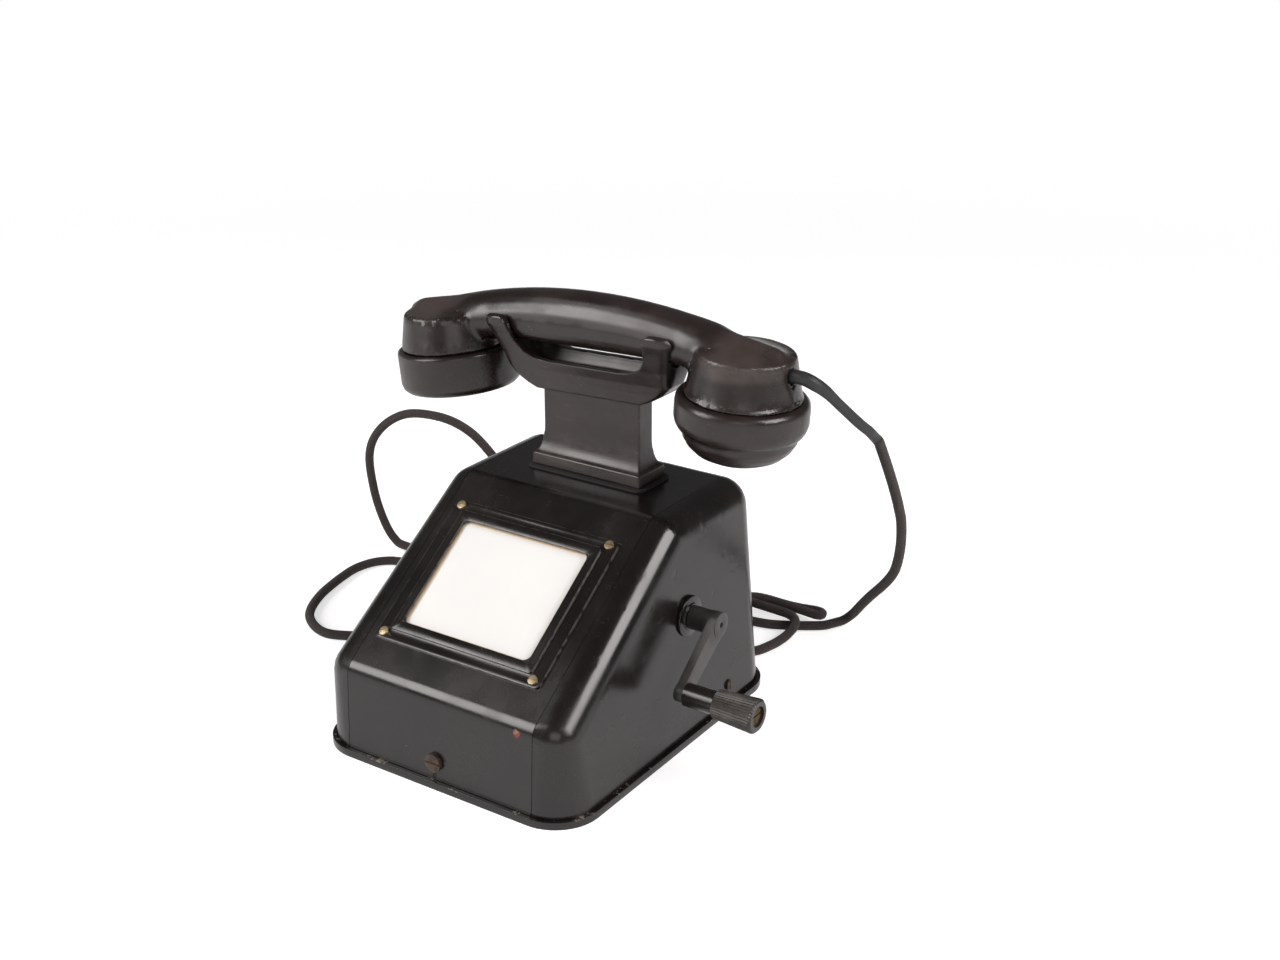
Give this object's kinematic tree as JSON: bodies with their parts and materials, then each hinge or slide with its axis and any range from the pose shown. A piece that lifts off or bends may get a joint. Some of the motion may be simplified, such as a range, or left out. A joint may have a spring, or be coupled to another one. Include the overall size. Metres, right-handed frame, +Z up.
{
  "type": "magneto desk telephone",
  "caption": "Sloped sheet-steel desk telephone with a side hand crank, a blank card frame, a horned cradle on a pedestal, a moulded handset and braided cords.",
  "frame": {"origin": "centre of the base plate's underside, on the table", "axes": "+Z up, +X to the crank side, +Y to the back, the card slope faces -Y and up"},
  "size_m": [0.3726, 0.302, 0.2162],
  "materials": {
    "black_enamel": "semi-gloss stoved enamel, worn at the edges",
    "bakelite": "satin moulded phenolic, dusty",
    "dark_metal": "worn dark finish",
    "steel": "plain machined",
    "brass": "dull, aged",
    "copper": "enamelled winding",
    "magnet_steel": "blackened",
    "card": "white card",
    "celluloid": "clear celluloid, yellowed at its edge",
    "gasket": "pressed board",
    "braid": "dark braided textile",
    "soft_rubber": "smooth moulded"
  },
  "bodies": {
    "case": {"base_plate": "black_enamel", "case_centre_panel": "black_enamel", "case_left_shell": "black_enamel", "case_right_shell": "black_enamel", "card_frame": "black_enamel", "card_window": "celluloid", "name_card": "card", "frame_screws": "brass", "front_screw": "dark_metal", "side_screws": "dark_metal", "pedestal_gasket": "gasket", "pedestal": "bakelite", "cradle_spring": "steel", "switch_block": "bakelite", "switch_blades": "brass", "crank_bush": "dark_metal", "magneto_frame": "steel", "magneto_magnets": "magnet_steel", "ringer_yoke": "steel", "ringer_coils": "copper", "gongs": "brass", "induction_coil": "copper", "capacitor": "steel", "terminal_block": "bakelite", "cord_glands": "soft_rubber", "handset_cord_drop": "braid", "handset_cord_loops": "braid", "line_cord_arch": "braid", "line_cord_loop": "braid", "line_coil": "braid", "line_plug": "bakelite", "plug_pins": "brass"},
    "cradle": {"cradle": "bakelite", "cradle_plunger": "steel"},
    "handset": {"handset_handle": "bakelite", "receiver_cap": "bakelite", "receiver_capsule": "steel", "transmitter_cap": "bakelite", "transmitter_capsule": "steel", "cord_sleeve": "soft_rubber"},
    "crank": {"crank_shaft": "steel", "crank_arm": "dark_metal", "crank_pin": "steel", "crank_gear": "brass", "grip_screw": "brass"},
    "grip": {"crank_grip": "bakelite"},
    "armature": {"magneto_armature": "steel", "armature_pinion": "steel"},
    "clapper": {"clapper": "brass"}
  },
  "joints": [
    {"name": "hook_slide", "type": "slide", "parent": "case", "child": "cradle", "axis": [0, 0, 1], "range_m": [0, 0.004], "stiffness_N_per_m": 300, "springref_m": 0.008, "deforming": ["cradle_spring"]},
    {"name": "handset_lift", "type": "slide", "parent": "cradle", "child": "handset", "axis": [0, 0, 1], "range_m": [0, 0.07]},
    {"name": "crank_turn", "type": "hinge", "parent": "case", "child": "crank", "pos_m": [0.07, 0.015, 0.068], "axis": [1, 0, 0], "continuous": true},
    {"name": "grip_turn", "type": "hinge", "parent": "crank", "child": "grip", "pos_m": [0.11, -0.01634, 0.04395], "axis": [1, 0, 0], "continuous": true},
    {"name": "armature_turn", "type": "hinge", "parent": "case", "child": "armature", "pos_m": [0.02, 0.04224, 0.04432], "axis": [1, 0, 0], "continuous": true},
    {"name": "clapper_swing", "type": "hinge", "parent": "case", "child": "clapper", "pos_m": [0, -0.0425, 0.01], "axis": [0, 0, 1], "range_deg": [-5, 5]}
  ],
  "couplings": [
    {"joint": "armature_turn", "follows": "crank_turn", "ratio": -5}
  ]
}
